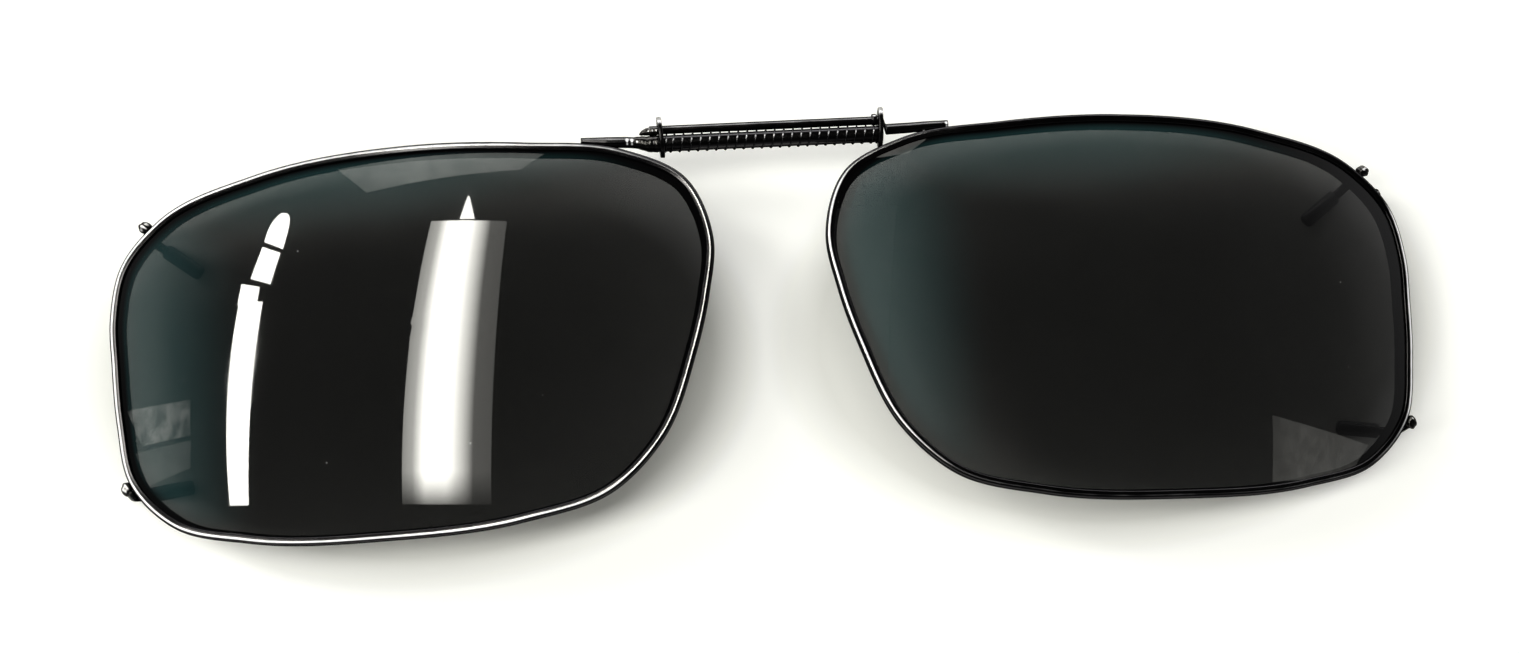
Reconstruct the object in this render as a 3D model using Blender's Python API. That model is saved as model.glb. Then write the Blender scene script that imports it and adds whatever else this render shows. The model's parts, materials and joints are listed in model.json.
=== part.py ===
"""Spring-bridge clip-on sunglasses, lying on their four hooks with the lenses up.

Left and right are as seen from the front. +X runs to the right lens, +Y up the
face and +Z out of the lens fronts. The origin is under the middle of the outer
box, on the surface that the hooks rest on. Lengths are in metres.
"""
import math

import bmesh
import bpy
from mathutils import Matrix, Vector

# Eyewires and lenses
RIM_WIDTH = 0.0597
RIM_HEIGHT = 0.0391
NOSE_GAP = 0.0109
BASE_RADIUS = 0.095
FACE_WRAP = math.radians(6.7)
LENS_LEAN = math.radians(1.7)
LENS_THICKNESS = 0.0010
LENS_EDGE_DEPTH = 0.00045
RIM_WALL = 0.00038
RIM_RISE = 0.00035
RIM_SHOULDER = 0.00045
RIM_BACK = 0.0017
RIM_BACK_ROUND = 0.00035
RIM_BACK_LIP = 0.0010

# Fits between pieces that are seated, and between pieces that slide
SEAT_GAP = 0.00008
RUNNING_GAP = 0.00005

# Corners closer than this are one corner
WELD_DISTANCE = 0.000002

# Bridge: two rods, each fixed to one eyewire and ending in the far plate
ROD_DIAMETER = 0.0009
SPRING_WIRE = 0.00028
SPRING_TURNS = 23
SPRING_BORE_PLAY = 0.00009
ROD_TO_SPRING = 0.00015
PLATE_HEIGHT = 0.0042
PLATE_DEPTH = 0.0030
PLATE_THICKNESS = 0.00045
PLATE_EDGE = 0.00012
PLATE_SPAN = 0.0214
PLATE_OFFSET = 0.00085
BAR_LENGTH = {"left": 0.0077, "right": 0.0066}
JOG_LENGTH = {"left": 0.0017, "right": 0.0011}
BRIDGE_SETBACK = 0.0012
COLLAR_DIAMETER = 0.0013
COLLAR_LENGTH = 0.0018
CAP_BORE = 0.0009
BUSH_DIAMETER = 0.00122
BUSH_LENGTH = 0.0005
PAD_LENGTH = 0.0027
PAD_THINNEST = 0.00014
PAD_FRONT = 0.0007
PAD_BACK = 0.0015

# Hooks, their sleeves, and the brazed beads
HOOK_WIRE = 0.0009
HOOK_THROAT = 0.0043
HOOK_BEND = 0.0012
HOOK_REACH = 0.0056
HOOK_TOP_DROP = 0.0005
SLEEVE_ACROSS = 0.0015
SLEEVE_LENGTH = 0.0043
SLEEVE_END = 0.0003
SLEEVE_ROUND = 0.0003
BEAD_HALF_LENGTH = 0.00075
BEAD_HALF_WIDTH = 0.00045
BEAD_HALF_HEIGHT = 0.00045
JOINT_HALF_LENGTH = 0.00075
JOINT_HALF_WIDTH = 0.00016
JOINT_HALF_HEIGHT = 0.0006

# The eyewire's outline, from the temple side up over the brow and round the nose:
# shares of its half width (outwards) and half height (upwards)
OUTLINE_SHARES = (
    (0.998, 0.24), (0.955, 0.52), (0.82, 0.74), (0.50, 0.915), (0.0, 1.0),
    (-0.40, 0.98), (-0.72, 0.925), (-0.92, 0.77), (-1.0, 0.45), (-0.975, 0.15),
    (-0.92, -0.15), (-0.80, -0.57), (-0.63, -0.82), (-0.34, -0.95), (0.11, -1.0),
    (0.56, -0.957), (0.80, -0.85), (0.945, -0.61), (0.983, -0.30), (0.995, 0.0),
)

# How far along the outline each hook and the joint sit, and how far each hook's
# finger dips below a line straight across the lens
TOP_HOOK_ALONG_SHARE = 0.0595
BOTTOM_HOOK_ALONG_SHARE = 0.899
JOINT_ALONG_SHARE = 0.0437
HOOK_DIP = {"top": math.radians(37), "bottom": math.radians(-8)}

# Shapes of the turned and half-round pieces, as shares of their own sizes
LIP_CREST_SHARES = (0.62, 1.0)
LIP_EDGE_SHARE = 0.75
FLANK_SHARES = (0.22, 0.3)
DOME_SHARES = ((1.0, 0.0), (0.93, 0.38), (0.72, 0.7), (0.4, 0.92))
COLLAR_TAPER_SHARES = (0.6, 0.5)
JOG_SHARES = ((0.0, 0.0), (0.25, 0.14), (0.5, 0.5), (0.75, 0.86), (1.0, 1.0))

# Facets
RIM_STATIONS = 84
FINE_STATIONS = 504
CURVE_STEPS = 8
LENS_RING_SHARES = (0.28, 0.55, 0.8, 1.0)
PAD_STATIONS = 5
POINTS_PER_TURN = 9
BEND_STEPS = 6
ROUND_SIDES = 12
WIRE_SIDES = 8
SPRING_SIDES = 6
PLATE_SIDES = 28
BEAD_RINGS = 8

# Worked out from the sizes above
SIDES = {"left": -1, "right": 1}
HOOK_ALONG_SHARES = {"top": TOP_HOOK_ALONG_SHARE, "bottom": BOTTOM_HOOK_ALONG_SHARE}
RIM_LIP = RIM_WALL + SEAT_GAP + LENS_EDGE_DEPTH
LENS_CENTRE_X = (NOSE_GAP + RIM_WIDTH) / 2
ROD_RADIUS = ROD_DIAMETER / 2
HOOK_RADIUS = HOOK_WIRE / 2
FINGER_HEIGHT = SLEEVE_ACROSS / 2
SPRING_MEAN_RADIUS = ROD_RADIUS + SPRING_BORE_PLAY + SPRING_WIRE / 2
SPRING_OUTER_RADIUS = SPRING_MEAN_RADIUS + SPRING_WIRE / 2
ROD_OFFSET = (SPRING_OUTER_RADIUS + ROD_TO_SPRING + ROD_RADIUS) / 2
INNER_FACE = {side: PLATE_OFFSET + sign * PLATE_SPAN / 2 for side, sign in SIDES.items()}
OUTER_FACE = {side: INNER_FACE[side] + sign * PLATE_THICKNESS for side, sign in SIDES.items()}
BAR_END = {side: OUTER_FACE[side] + sign * BAR_LENGTH[side] for side, sign in SIDES.items()}


# Outline and sections of the eyewire

def closed_curve(points, steps):
    """Smooth closed curve through the points, with steps to each span."""
    count = len(points)
    spans = [(points[(i + 1) % count] - points[i]).length for i in range(count)]
    slopes = []
    for i in range(count):
        before = (points[i] - points[i - 1]) / spans[i - 1]
        after = (points[(i + 1) % count] - points[i]) / spans[i]
        slopes.append((before * spans[i] + after * spans[i - 1]) / (spans[i - 1] + spans[i]))
    curve = []
    for i in range(count):
        j = (i + 1) % count
        for k in range(steps):
            t = k / steps
            bulge = slopes[i] * (t * (1 - t) ** 2) - slopes[j] * (t * t * (1 - t))
            curve.append(points[i].lerp(points[j], t * t * (3 - 2 * t)) + bulge * spans[i])
    return curve


def evenly_spaced(points, count):
    """The closed run of points, resampled at equal steps of its length."""
    size = len(points)
    spans = [(points[(i + 1) % size] - points[i]).length for i in range(size)]
    step = sum(spans) / count
    result = []
    index = 0
    passed = 0.0
    for k in range(count):
        while passed + spans[index] < k * step:
            passed += spans[index]
            index += 1
        share = (k * step - passed) / spans[index]
        result.append(points[index].lerp(points[(index + 1) % size], share))
    return result


def rim_outline(count):
    """The right eyewire's outline as seen from the front, about the lens centre."""
    knots = [Vector((x * RIM_WIDTH / 2, y * RIM_HEIGHT / 2)) for x, y in OUTLINE_SHARES]
    return evenly_spaced(closed_curve(knots, CURVE_STEPS), count)


def sphere_centre():
    """Centre of the right lens's front sphere, as high as the top hook's throat sets it."""
    x = LENS_CENTRE_X - BASE_RADIUS * math.sin(FACE_WRAP)
    y = -BASE_RADIUS * math.sin(LENS_LEAN)
    hook = rim_outline(FINE_STATIONS)[round(HOOK_ALONG_SHARES["top"] * FINE_STATIONS)]
    reach = math.hypot(LENS_CENTRE_X + hook.x - x, hook.y - y)
    rim_height = SLEEVE_ACROSS + HOOK_THROAT + RIM_BACK
    return Vector((x, y, rim_height - math.sqrt(BASE_RADIUS**2 - reach**2)))


def on_sphere(centre, x, y):
    """The point of a lens front straight above x, y."""
    rise = math.sqrt(BASE_RADIUS**2 - (x - centre.x)**2 - (y - centre.y)**2)
    return Vector((x, y, centre.z + rise))


def mirrored(vector, side):
    """A vector of the right side, or its mirror image for the left."""
    return Vector((SIDES[side] * vector.x, vector.y, vector.z))


def rim_sections(side, count):
    """Frames along an eyewire: a point on the lens front, outwards and upwards."""
    centre = sphere_centre()
    points = [on_sphere(centre, LENS_CENTRE_X + p.x, p.y) for p in rim_outline(count)]
    sections = []
    for i, point in enumerate(points):
        along = points[(i + 1) % count] - points[i - 1]
        up = (point - centre).normalized()
        out = along.cross(up).normalized()
        sections.append(tuple(mirrored(v, side) for v in (point, out, up)))
    return sections


def section_at(side, along_share):
    """The eyewire's frame at a share of its length."""
    return rim_sections(side, FINE_STATIONS)[round(along_share * FINE_STATIONS)]


def brow_section(side, x):
    """The eyewire's frame on its brow, at a distance x from the middle."""
    sections = rim_sections("right", FINE_STATIONS)
    pairs = [(a, b) for a, b in zip(sections, sections[1:]) if b[0].x <= x < a[0].x]
    outer, inner = pairs[0]
    share = (outer[0].x - x) / (outer[0].x - inner[0].x)
    return tuple(mirrored(p.lerp(q, share), side) for p, q in zip(outer, inner))


def spot(section, out, up):
    """A point of the section's plane, out from the outline and up from the lens front."""
    point, outwards, upwards = section
    return point + outwards * out + upwards * up


def rim_profile():
    """Half-round eyewire with a groove for the lens edge, as (out, up) pairs."""
    over = SEAT_GAP
    under = -LENS_THICKNESS - SEAT_GAP
    return [
        (-RIM_LIP, over),
        (-RIM_LIP, RIM_RISE * LIP_EDGE_SHARE),
        (-RIM_LIP * LIP_CREST_SHARES[0], RIM_RISE * LIP_CREST_SHARES[1]),
        (-RIM_LIP * FLANK_SHARES[0], RIM_RISE * FLANK_SHARES[1]),
        (0, -RIM_SHOULDER),
        (0, -RIM_BACK + RIM_BACK_ROUND),
        (-RIM_BACK_ROUND, -RIM_BACK),
        (-RIM_BACK_LIP, -RIM_BACK),
        (-RIM_BACK_LIP, under),
        (-RIM_WALL, under),
        (-RIM_WALL, over),
    ]


def rim_flank(section):
    """The sideways direction out of the lens, and how far the eyewire reaches that way."""
    point, outwards, _ = section
    flat = Vector((outwards.x, outwards.y, 0)).normalized()
    reach = max((spot(section, out, up) - point).dot(flat) for out, up in rim_profile())
    return flat, reach


def brow_wall(x):
    """The point of an eyewire's outer wall beside the bridge, at a distance x from the middle."""
    return spot(brow_section("right", x), 0, -BRIDGE_SETBACK)


def bridge_axis():
    """Where the bars lie: as low as the pads under them and the plates' ends allow."""
    bar_wall = brow_wall(max(abs(end) for end in BAR_END.values()))
    plate_wall = brow_wall(max(abs(face) for face in OUTER_FACE.values()))
    over_pads = bar_wall.y + 2 * SEAT_GAP + PAD_THINNEST + ROD_RADIUS
    over_plates = plate_wall.y + SEAT_GAP + PLATE_HEIGHT / 2
    return Vector((0, max(over_pads, over_plates), bar_wall.z))


def box_middle():
    """Half way between the plates' tops and the lowest point of the eyewires."""
    sections = rim_sections("right", RIM_STATIONS)
    lowest = min(spot(section, out, up).y for section in sections for out, up in rim_profile())
    return (bridge_axis().y + PLATE_HEIGHT / 2 + lowest) / 2


# Scene, materials and mesh helpers

def clear_scene():
    for item in list(bpy.data.objects):
        bpy.data.objects.remove(item, do_unlink=True)


def finish(name, colour, metallic, roughness):
    """A plain Principled material."""
    material = bpy.data.materials.new(name)
    material.use_nodes = True
    shader = material.node_tree.nodes["Principled BSDF"]
    shader.inputs["Base Color"].default_value = (*colour, 1)
    shader.inputs["Metallic"].default_value = metallic
    shader.inputs["Roughness"].default_value = roughness
    return material


def add_empty(name, parent, location):
    """An empty at a place given in its parent's frame."""
    empty = bpy.data.objects.new(name, None)
    bpy.context.collection.objects.link(empty)
    empty.parent = parent
    empty.location = location
    return empty


def add_piece(name, data, material, half, place):
    """Links an object at its place in the model, hung on the half that carries it."""
    data.materials.append(material)
    piece = bpy.data.objects.new(name, data)
    bpy.context.collection.objects.link(piece)
    piece.parent = half
    piece.location = place - half.location
    return piece


def mesh_from(name, bm, sharp_angle=math.radians(35)):
    """A closed mesh with its faces out, smooth but for its sharp edges."""
    bmesh.ops.recalc_face_normals(bm, faces=bm.faces)
    mesh = bpy.data.meshes.new(name)
    bm.to_mesh(mesh)
    bm.free()
    mesh.shade_smooth()
    mesh.set_sharp_from_angle(angle=sharp_angle)
    return mesh


def join_rings(bm, ring, following):
    """A band of four-sided faces between two rings of vertices."""
    size = len(ring)
    for i in range(size):
        j = (i + 1) % size
        bm.faces.new((ring[i], ring[j], following[j], following[i]))


def turned_mesh(name, profile, sides):
    """Turns a profile of (radius, height) pairs about Z, with flats up and across."""
    start = math.pi / sides
    bm = bmesh.new()
    verts = [bm.verts.new((r * math.cos(start), r * math.sin(start), z)) for r, z in profile]
    edges = [bm.edges.new(pair) for pair in zip(verts, verts[1:])]
    if profile[0][0] > 0:
        edges.append(bm.edges.new((verts[-1], verts[0])))
    bmesh.ops.spin(bm, geom=verts + edges, cent=(0, 0, 0), axis=(0, 0, 1),
                   angle=math.tau, steps=sides)
    bmesh.ops.remove_doubles(bm, verts=bm.verts, dist=WELD_DISTANCE)
    return mesh_from(name, bm)


def point_along(piece, direction):
    """Turns a piece built about +Z so that it points along a direction."""
    piece.rotation_euler = direction.to_track_quat("Z", "Y").to_euler()


def corner_radius(radius, sides):
    """The corner radius of a many-sided hole whose flats clear a round of this radius."""
    return radius / math.cos(math.pi / sides)


def add_tube(name, points, diameter, sides, material, half):
    """A wire through the points, as a curve with a round bevel and filled ends."""
    curve = bpy.data.curves.new(name, "CURVE")
    curve.dimensions = "3D"
    curve.bevel_depth = diameter / 2
    curve.bevel_resolution = (sides - 4) // 2
    curve.use_fill_caps = True
    spline = curve.splines.new("POLY")
    spline.points.add(len(points) - 1)
    for target, point in zip(spline.points, points):
        target.co = (point - points[0]).to_4d()
    return add_piece(name, curve, material, half, points[0])


def add_bead(name, centre, axes, sizes, material, half):
    """A brazed bead: a round blob with a half size along each of three axes."""
    bm = bmesh.new()
    radius = sizes[0]
    bmesh.ops.create_uvsphere(bm, u_segments=ROUND_SIDES, v_segments=BEAD_RINGS, radius=radius)
    frame = Matrix([axis * (size / radius) for axis, size in zip(axes, sizes)]).transposed()
    bmesh.ops.transform(bm, matrix=frame.to_4x4(), verts=bm.verts)
    return add_piece(name, mesh_from(name, bm), material, half, centre)


# Eyewires and lenses

def add_rim(side, material, half):
    """The grooved wire round one lens."""
    middle = mirrored(Vector((LENS_CENTRE_X, 0, 0)), side)
    bm = bmesh.new()
    rings = []
    for section in rim_sections(side, RIM_STATIONS):
        spots = [spot(section, out, up) - middle for out, up in rim_profile()]
        rings.append([bm.verts.new(p) for p in spots])
    for ring, following in zip(rings, rings[1:] + rings[:1]):
        join_rings(bm, ring, following)
    add_piece(f"rim_{side}", mesh_from("rim", bm), material, half, middle)


def add_lens(side, material, half):
    """A round-curved shell whose edge sits in the eyewire's groove."""
    middle = mirrored(Vector((LENS_CENTRE_X, 0, 0)), side)
    ball = mirrored(sphere_centre(), side)
    inset = RIM_WALL + SEAT_GAP
    edge = [spot(section, -inset, 0) for section in rim_sections(side, RIM_STATIONS)]
    crown = sum(edge, Vector()) / len(edge)
    bm = bmesh.new()
    outer_rings = []
    for radius in (BASE_RADIUS, BASE_RADIUS - LENS_THICKNESS):
        top = ball + (crown - ball).normalized() * radius - middle
        hub = bm.verts.new(top)
        rings = []
        for share in LENS_RING_SHARES:
            spots = [crown.lerp(p, share) for p in edge]
            spots = [ball + (p - ball).normalized() * radius - middle for p in spots]
            rings.append([bm.verts.new(p) for p in spots])
        for i in range(RIM_STATIONS):
            bm.faces.new((hub, rings[0][i - 1], rings[0][i]))
        for ring, following in zip(rings, rings[1:]):
            join_rings(bm, ring, following)
        outer_rings.append(rings[-1])
    join_rings(bm, *outer_rings)
    add_piece(f"lens_{side}", mesh_from("lens", bm), material, half, middle)


def add_rim_joint(side, material, half):
    """The small brazed swelling where the eyewire's two ends meet."""
    section = section_at(side, JOINT_ALONG_SHARE)
    _, out, up = section
    centre = spot(section, SEAT_GAP + JOINT_HALF_WIDTH, -RIM_SHOULDER - JOINT_HALF_HEIGHT / 2)
    sizes = (JOINT_HALF_LENGTH, JOINT_HALF_WIDTH, JOINT_HALF_HEIGHT)
    add_bead(f"rim_joint_{side}", centre, (out.cross(up), out, up), sizes, material, half)


# Bridge

def jog(start_x, start_y, end_x, end_y, depth):
    """Points of a gentle crank from one line to the next, in the bridge's frame."""
    return [Vector((start_x + (end_x - start_x) * along, start_y + (end_y - start_y) * rise, depth))
            for along, rise in JOG_SHARES]


def add_lower_rod(material, half):
    """From the left eyewire, through the left plate and the spring, to the right plate."""
    axis = bridge_axis()
    crank_end = OUTER_FACE["left"] - 2 * SEAT_GAP - COLLAR_LENGTH
    crank_start = crank_end - JOG_LENGTH["left"]
    points = [Vector((BAR_END["left"], axis.y, axis.z))]
    points += jog(crank_start, axis.y, crank_end, axis.y - ROD_OFFSET, axis.z)
    points.append(Vector((OUTER_FACE["right"], axis.y - ROD_OFFSET, axis.z)))
    add_tube("rod_lower", points, ROD_DIAMETER, ROUND_SIDES, material, half)


def add_upper_rod(material, half):
    """From the right eyewire, through the right plate, to the cap on the left plate."""
    axis = bridge_axis()
    crank_end = OUTER_FACE["right"] + SEAT_GAP
    crank_start = crank_end + JOG_LENGTH["right"]
    tip = OUTER_FACE["left"] - CAP_BORE
    points = [Vector((BAR_END["right"], axis.y, axis.z))]
    points += jog(crank_start, axis.y, crank_end, axis.y + ROD_OFFSET, axis.z)
    points.append(Vector((tip, axis.y + ROD_OFFSET, axis.z)))
    add_tube("rod_upper", points, ROD_DIAMETER, ROUND_SIDES, material, half)


def add_plate(side, sliding, material, half):
    """An oval plate with a hole for each rod, one of which slides in it."""
    axis = bridge_axis()
    bm = bmesh.new()
    bmesh.ops.create_cone(bm, cap_ends=True, segments=PLATE_SIDES, radius1=PLATE_DEPTH / 2,
                          radius2=PLATE_DEPTH / 2, depth=PLATE_THICKNESS)
    bmesh.ops.scale(bm, vec=(1, PLATE_HEIGHT / PLATE_DEPTH, 1), verts=bm.verts)
    round_edges = [edge for edge in bm.edges if edge.verts[0].co.z == edge.verts[1].co.z]
    bmesh.ops.bevel(bm, geom=round_edges, offset=PLATE_EDGE, segments=1, affect="EDGES")
    bmesh.ops.rotate(bm, matrix=Matrix.Rotation(math.pi / 2, 3, "Y"), verts=bm.verts)
    middle = Vector(((INNER_FACE[side] + OUTER_FACE[side]) / 2, axis.y, axis.z))
    plate = add_piece(f"guide_plate_{side}", mesh_from("guide_plate", bm), material, half, middle)
    for level, sign in (("lower", -1), ("upper", 1)):
        gap = RUNNING_GAP if level == sliding else SEAT_GAP
        add_rod_hole(plate, f"{side}_{level}", sign * ROD_OFFSET, gap, half)


def add_rod_hole(plate, name, height, gap, half):
    """Cuts a rod's hole through a plate, at a height from the plate's middle."""
    radius = corner_radius(ROD_RADIUS + gap, ROUND_SIDES)
    bm = bmesh.new()
    bmesh.ops.create_cone(bm, cap_ends=True, segments=ROUND_SIDES, radius1=radius,
                          radius2=radius, depth=PLATE_THICKNESS * 2)
    bmesh.ops.rotate(bm, matrix=Matrix.Rotation(math.pi / 2, 3, "Y"), verts=bm.verts)
    mesh = mesh_from("hole_cutter", bm)
    cutter = bpy.data.objects.new(f"hole_cutter_{name}", mesh)
    bpy.context.collection.objects.link(cutter)
    cutter.parent = half
    cutter.location = plate.location + Vector((0, height, 0))
    cutter.hide_render = True
    cutter.display_type = "WIRE"
    hole = plate.modifiers.new(f"hole_{name}", "BOOLEAN")
    hole.operation = "DIFFERENCE"
    hole.solver = "EXACT"
    hole.object = cutter


def add_turned(name, profile, sides, start, direction, material, half):
    """A turned piece standing on its start point and pointing along a direction."""
    piece = add_piece(name, turned_mesh(name, profile, sides), material, half, start)
    point_along(piece, direction)
    return piece


def add_stop_collar(material, half):
    """The tapered collar fixed on the lower rod, which the left plate rests against."""
    axis = bridge_axis()
    bore = corner_radius(ROD_RADIUS + SEAT_GAP, ROUND_SIDES)
    radius = COLLAR_DIAMETER / 2
    wall_share, straight_share = COLLAR_TAPER_SHARES
    tip = bore + (radius - bore) * wall_share
    profile = [(bore, 0), (radius, 0), (radius, COLLAR_LENGTH * straight_share),
               (tip, COLLAR_LENGTH), (bore, COLLAR_LENGTH)]
    start = Vector((OUTER_FACE["left"] - SEAT_GAP, axis.y - ROD_OFFSET, axis.z))
    add_turned("stop_collar", profile, ROUND_SIDES, start, Vector((-1, 0, 0)), material, half)


def add_rod_cap(material, half):
    """The domed cap on the upper rod's end, outside the left plate."""
    axis = bridge_axis()
    bore = corner_radius(ROD_RADIUS + SEAT_GAP, ROUND_SIDES)
    radius = COLLAR_DIAMETER / 2
    rise = COLLAR_LENGTH - CAP_BORE
    dome = [(radius * wide, CAP_BORE + rise * high) for wide, high in DOME_SHARES]
    profile = [(0, CAP_BORE), (bore, CAP_BORE), (bore, 0), (radius, 0), *dome, (0, COLLAR_LENGTH)]
    start = Vector((OUTER_FACE["left"] - SEAT_GAP, axis.y + ROD_OFFSET, axis.z))
    add_turned("rod_cap", profile, ROUND_SIDES, start, Vector((-1, 0, 0)), material, half)


def add_guide_bush(material, half):
    """The short bush on the right plate's inner face, in which the upper rod slides."""
    axis = bridge_axis()
    bore = corner_radius(ROD_RADIUS + RUNNING_GAP, ROUND_SIDES)
    radius = BUSH_DIAMETER / 2
    profile = [(bore, 0), (radius, 0), (radius, BUSH_LENGTH), (bore, BUSH_LENGTH)]
    start = Vector((INNER_FACE["right"] - SEAT_GAP, axis.y + ROD_OFFSET, axis.z))
    add_turned("guide_bush", profile, ROUND_SIDES, start, Vector((-1, 0, 0)), material, half)


def spring_points():
    """The coil round the lower rod, with a straight end square to each plate."""
    axis = bridge_axis()
    middle = Vector((0, axis.y - ROD_OFFSET, axis.z))
    start = INNER_FACE["left"] + SEAT_GAP
    end = INNER_FACE["right"] - SEAT_GAP
    coil_start = start + SPRING_WIRE
    coil_end = end - SPRING_WIRE
    steps = SPRING_TURNS * POINTS_PER_TURN
    points = []
    for k in range(steps + 1):
        angle = math.tau * k / POINTS_PER_TURN
        x = coil_start + (coil_end - coil_start) * k / steps
        across = Vector((x, -math.cos(angle) * SPRING_MEAN_RADIUS, math.sin(angle) * SPRING_MEAN_RADIUS))
        points.append(middle + across)
    tail = Vector((SPRING_WIRE, 0, 0))
    return [points[0] - tail, *points, points[-1] + tail]


def least_gap(points, diameter, points_per_turn):
    """The least clear distance between one turn of a coil and any other."""
    skip = points_per_turn // 2 + 1
    return min((q - p).length for i, p in enumerate(points) for q in points[i + skip:]) - diameter


def add_spring(material, half):
    points = spring_points()
    gap = least_gap(points, SPRING_WIRE, POINTS_PER_TURN)
    print(f"bridge_spring: {SPRING_TURNS} turns, least gap to itself {gap:.6f} m")
    add_tube("bridge_spring", points, SPRING_WIRE, SPRING_SIDES, material, half)


def add_bridge_pad(side, material, half):
    """The brazed pad that fills the wedge between a bar's end and the eyewire's brow."""
    axis = bridge_axis()
    top = axis.y - ROD_RADIUS - SEAT_GAP
    start = abs(BAR_END[side])
    place = mirrored(Vector((start, axis.y, axis.z)), side)
    bm = bmesh.new()
    rings = []
    for k in range(PAD_STATIONS):
        section = brow_section(side, start - PAD_LENGTH * k / (PAD_STATIONS - 1))
        front = spot(section, SEAT_GAP, -PAD_FRONT)
        back = spot(section, SEAT_GAP, -PAD_BACK)
        ring = (front, back, Vector((back.x, top, back.z)), Vector((front.x, top, front.z)))
        rings.append([bm.verts.new(p - place) for p in ring])
    for ring, following in zip(rings, rings[1:]):
        join_rings(bm, ring, following)
    bm.faces.new(rings[0])
    bm.faces.new(rings[-1])
    add_piece(f"bridge_pad_{side}", mesh_from("bridge_pad", bm), material, half, place)


# Hooks

def hook_frame(side, level):
    """Where a hook's shank stands, how high it starts, and which way its finger points."""
    section = section_at(side, HOOK_ALONG_SHARES[level])
    flat, reach = rim_flank(section)
    shank = section[0] + flat * (reach + SEAT_GAP + HOOK_RADIUS)
    dip = HOOK_DIP[level]
    finger = mirrored(Vector((-math.cos(dip), -math.sin(dip), 0)), side)
    return shank, flat, finger


def add_hook(side, level, material, half):
    """A wire that runs straight back from the eyewire and bends in behind the lens."""
    shank, _, finger = hook_frame(side, level)
    top = Vector((shank.x, shank.y, shank.z - HOOK_TOP_DROP))
    foot = Vector((shank.x, shank.y, FINGER_HEIGHT))
    points = [top]
    for k in range(BEND_STEPS + 1):
        turn = math.pi / 2 * k / BEND_STEPS
        inwards = finger * (HOOK_BEND * (1 - math.cos(turn)))
        height = Vector((0, 0, HOOK_BEND * (1 - math.sin(turn))))
        points.append(foot + inwards + height)
    points.append(foot + finger * HOOK_REACH)
    add_tube(f"hook_{side}_{level}", points, HOOK_WIRE, WIRE_SIDES, material, half)


def add_sleeve(side, level, material, half):
    """The soft sleeve over a hook's finger, flat above and below."""
    shank, _, finger = hook_frame(side, level)
    bore = corner_radius(HOOK_RADIUS + SEAT_GAP, WIRE_SIDES)
    radius = corner_radius(SLEEVE_ACROSS / 2, WIRE_SIDES)
    bottom = SLEEVE_LENGTH - SLEEVE_END
    profile = [(0, bottom), (bore, bottom), (bore, 0), (radius, 0),
               (radius, SLEEVE_LENGTH - SLEEVE_ROUND), (radius - SLEEVE_ROUND, SLEEVE_LENGTH),
               (0, SLEEVE_LENGTH)]
    start = HOOK_REACH + SEAT_GAP - bottom
    place = Vector((shank.x, shank.y, FINGER_HEIGHT)) + finger * start
    add_turned(f"sleeve_{side}_{level}", profile, WIRE_SIDES, place, finger, material, half)


def add_hook_bead(side, level, material, half):
    """The brazed bead over a hook's top end, against the eyewire."""
    shank, flat, _ = hook_frame(side, level)
    up = Vector((0, 0, 1))
    height = SEAT_GAP + BEAD_HALF_HEIGHT - HOOK_TOP_DROP
    sizes = (BEAD_HALF_LENGTH, BEAD_HALF_WIDTH, BEAD_HALF_HEIGHT)
    add_bead(f"hook_bead_{side}_{level}", shank + up * height, (flat.cross(up), flat, up),
             sizes, material, half)


def main():
    clear_scene()
    gunmetal = finish("gunmetal", (0.10, 0.10, 0.11), 1.0, 0.25)
    braze = finish("braze", (0.22, 0.21, 0.20), 1.0, 0.35)
    spring_steel = finish("spring_steel", (0.13, 0.13, 0.14), 1.0, 0.3)
    tinted = finish("tinted_lens", (0.02, 0.026, 0.024), 0.0, 0.05)
    vinyl = finish("vinyl", (0.03, 0.03, 0.03), 0.0, 0.5)

    origin = add_empty("clip_on", None, Vector((0, -box_middle(), 0)))
    halves = {side: add_empty(f"{side}_half", origin, bridge_axis()) for side in SIDES}
    for side, half in halves.items():
        add_rim(side, gunmetal, half)
        add_lens(side, tinted, half)
        add_bridge_pad(side, braze, half)
        for level in HOOK_ALONG_SHARES:
            add_hook(side, level, gunmetal, half)
            add_sleeve(side, level, vinyl, half)
            add_hook_bead(side, level, braze, half)
    add_rim_joint("right", braze, halves["right"])

    add_lower_rod(gunmetal, halves["left"])
    add_stop_collar(gunmetal, halves["left"])
    add_plate("right", "upper", gunmetal, halves["left"])
    add_guide_bush(gunmetal, halves["left"])
    add_spring(spring_steel, halves["left"])
    add_upper_rod(gunmetal, halves["right"])
    add_rod_cap(gunmetal, halves["right"])
    add_plate("left", "lower", gunmetal, halves["right"])


main()
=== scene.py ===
# %% [markdown]
# # Spring-bridge clip-on sunglasses
# Two tinted lenses in thin wire rims lie on their hooks with the fronts up, as on a white table.
# This file is a lesson in cells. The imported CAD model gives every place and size, and each cell
# dresses one kind of piece over it: finer metal, real coils, brazed lumps and a smoke-tinted lens.
# Lengths are in millimetres until a mesh is made, and Blender's own unit is the metre.

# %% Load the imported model
import json
import math

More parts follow.
